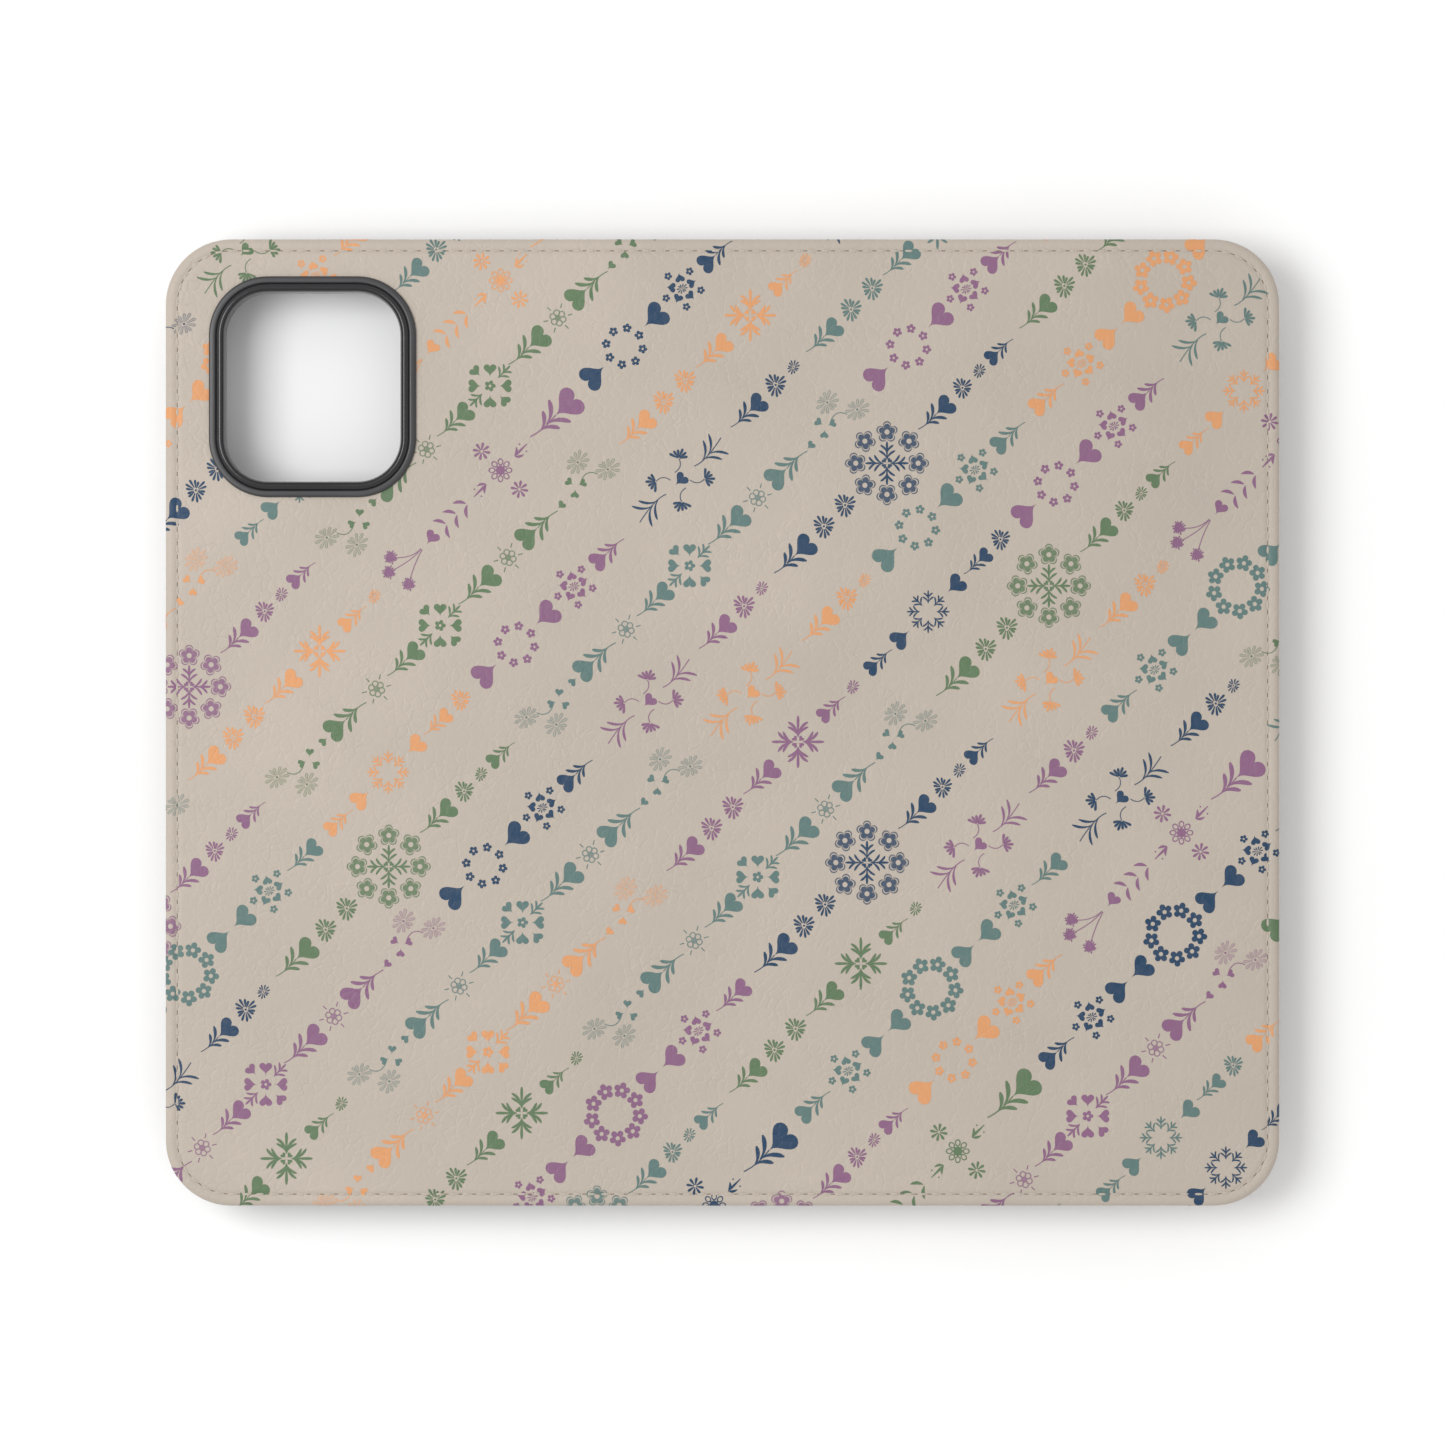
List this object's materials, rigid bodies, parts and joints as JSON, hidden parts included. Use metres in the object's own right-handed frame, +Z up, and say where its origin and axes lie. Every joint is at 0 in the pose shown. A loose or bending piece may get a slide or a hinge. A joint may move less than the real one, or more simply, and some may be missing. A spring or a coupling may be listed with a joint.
{
  "type": "folio phone case",
  "caption": "Book-style phone case opened flat: printed leather covers and spine on creases, snap-in phone shell, framed camera opening, card and cash pockets in the flap.",
  "frame": {"origin": "centre of the open case's footprint, on the surface that the shell's rim stands on", "axes": "+X across the open case from the back cover to the flap, +Y along the phone towards the camera end, +Z up out of the printed outer side"},
  "size_m": [0.1786, 0.155, 0.0125],
  "materials": {
    "printed_leather": "pebbled beige leather with a small floral print",
    "pocket_leather": "fine-grained plain beige leather",
    "lining": "brushed microfibre",
    "thread": "twisted polyester thread",
    "fibreboard": "pressed grey fibreboard",
    "shell": "matt moulded polycarbonate",
    "bezel": "satin black moulding with bright chamfers",
    "adhesive": "double-sided adhesive sheet",
    "steel": "plated strip",
    "magnet": "nickel-plated magnet"
  },
  "bodies": {
    "back": {"back_skin": "printed_leather", "back_board": "fibreboard", "back_lining": "lining", "back_stitching": "thread", "camera_bezel": "bezel", "shell_adhesive": "adhesive", "phone_shell": "shell", "shell_keepers": "steel"},
    "spine": {"spine_skin": "printed_leather", "spine_board": "fibreboard", "spine_lining": "lining", "spine_stitching": "thread"},
    "front": {"front_skin": "printed_leather", "front_board": "fibreboard", "front_lining": "lining", "front_stitching": "thread", "flap_magnets": "magnet", "cash_pocket_panel": "pocket_leather", "card_pocket_upper": "pocket_leather", "card_pocket_middle": "pocket_leather", "card_pocket_lower": "pocket_leather", "pocket_stitching": "thread"}
  },
  "joints": [
    {"name": "spine_fold", "type": "hinge", "parent": "back", "child": "spine", "pos_m": [-0.00805, 0, 0.01115], "axis": [0, 1, 0], "range_deg": [-90, 90]},
    {"name": "flap_fold", "type": "hinge", "parent": "spine", "child": "front", "pos_m": [0.00805, 0, 0.01115], "axis": [0, 1, 0], "range_deg": [-90, 90]}
  ]
}
